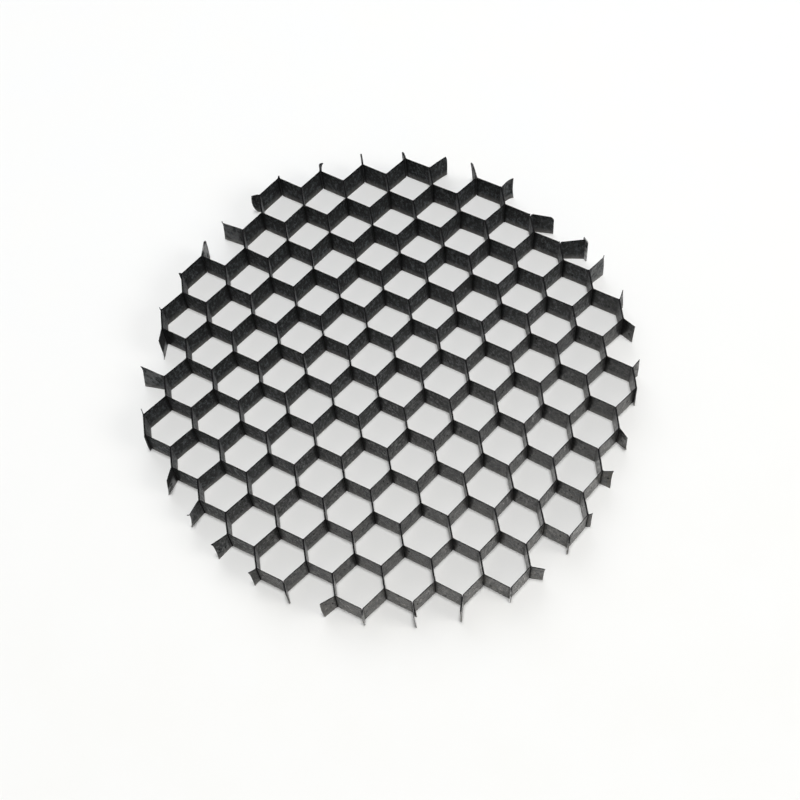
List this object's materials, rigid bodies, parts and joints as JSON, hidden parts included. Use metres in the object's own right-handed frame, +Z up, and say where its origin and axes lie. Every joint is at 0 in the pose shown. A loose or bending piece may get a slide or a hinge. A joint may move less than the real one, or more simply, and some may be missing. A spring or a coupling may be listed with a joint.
{
  "type": "honeycomb grid",
  "caption": "Round honeycomb grid cut by hand from expanded foil core painted matt black; open hexagonal cells narrow a light beam",
  "frame": {"origin": "middle of the disc's overall box, on the surface that it lies on", "axes": "X across the foil ribbons, Y along them, Z up through the cells"},
  "size_m": [0.0698, 0.071, 0.005],
  "materials": {
    "painted_foil": "matt",
    "bond": "matt"
  },
  "bodies": {
    "root": {"ribbon_01": "painted_foil", "ribbon_02": "painted_foil", "ribbon_02_tip": "painted_foil", "ribbon_03": "painted_foil", "ribbon_04": "painted_foil", "ribbon_05": "painted_foil", "ribbon_06": "painted_foil", "ribbon_07": "painted_foil", "ribbon_08": "painted_foil", "ribbon_09": "painted_foil", "ribbon_10": "painted_foil", "ribbon_11": "painted_foil", "ribbon_12": "painted_foil", "ribbon_13": "painted_foil", "ribbon_14": "painted_foil", "ribbon_15": "painted_foil", "ribbon_16": "painted_foil", "ribbon_17": "painted_foil", "ribbon_18": "painted_foil", "ribbon_19": "painted_foil", "ribbon_20": "painted_foil", "ribbon_21": "painted_foil", "ribbon_22": "painted_foil", "ribbon_23": "painted_foil", "ribbon_23_tip": "painted_foil", "bond_lines_01": "bond", "bond_lines_02": "bond", "bond_lines_03": "bond", "bond_lines_04": "bond", "bond_lines_05": "bond", "bond_lines_06": "bond", "bond_lines_07": "bond", "bond_lines_08": "bond", "bond_lines_09": "bond", "bond_lines_10": "bond", "bond_lines_11": "bond", "bond_lines_12": "bond", "bond_lines_13": "bond", "bond_lines_14": "bond", "bond_lines_15": "bond", "bond_lines_16": "bond", "bond_lines_17": "bond", "bond_lines_18": "bond", "bond_lines_19": "bond", "bond_lines_20": "bond", "bond_lines_21": "bond", "bond_lines_22": "bond"}
  },
  "joints": []
}
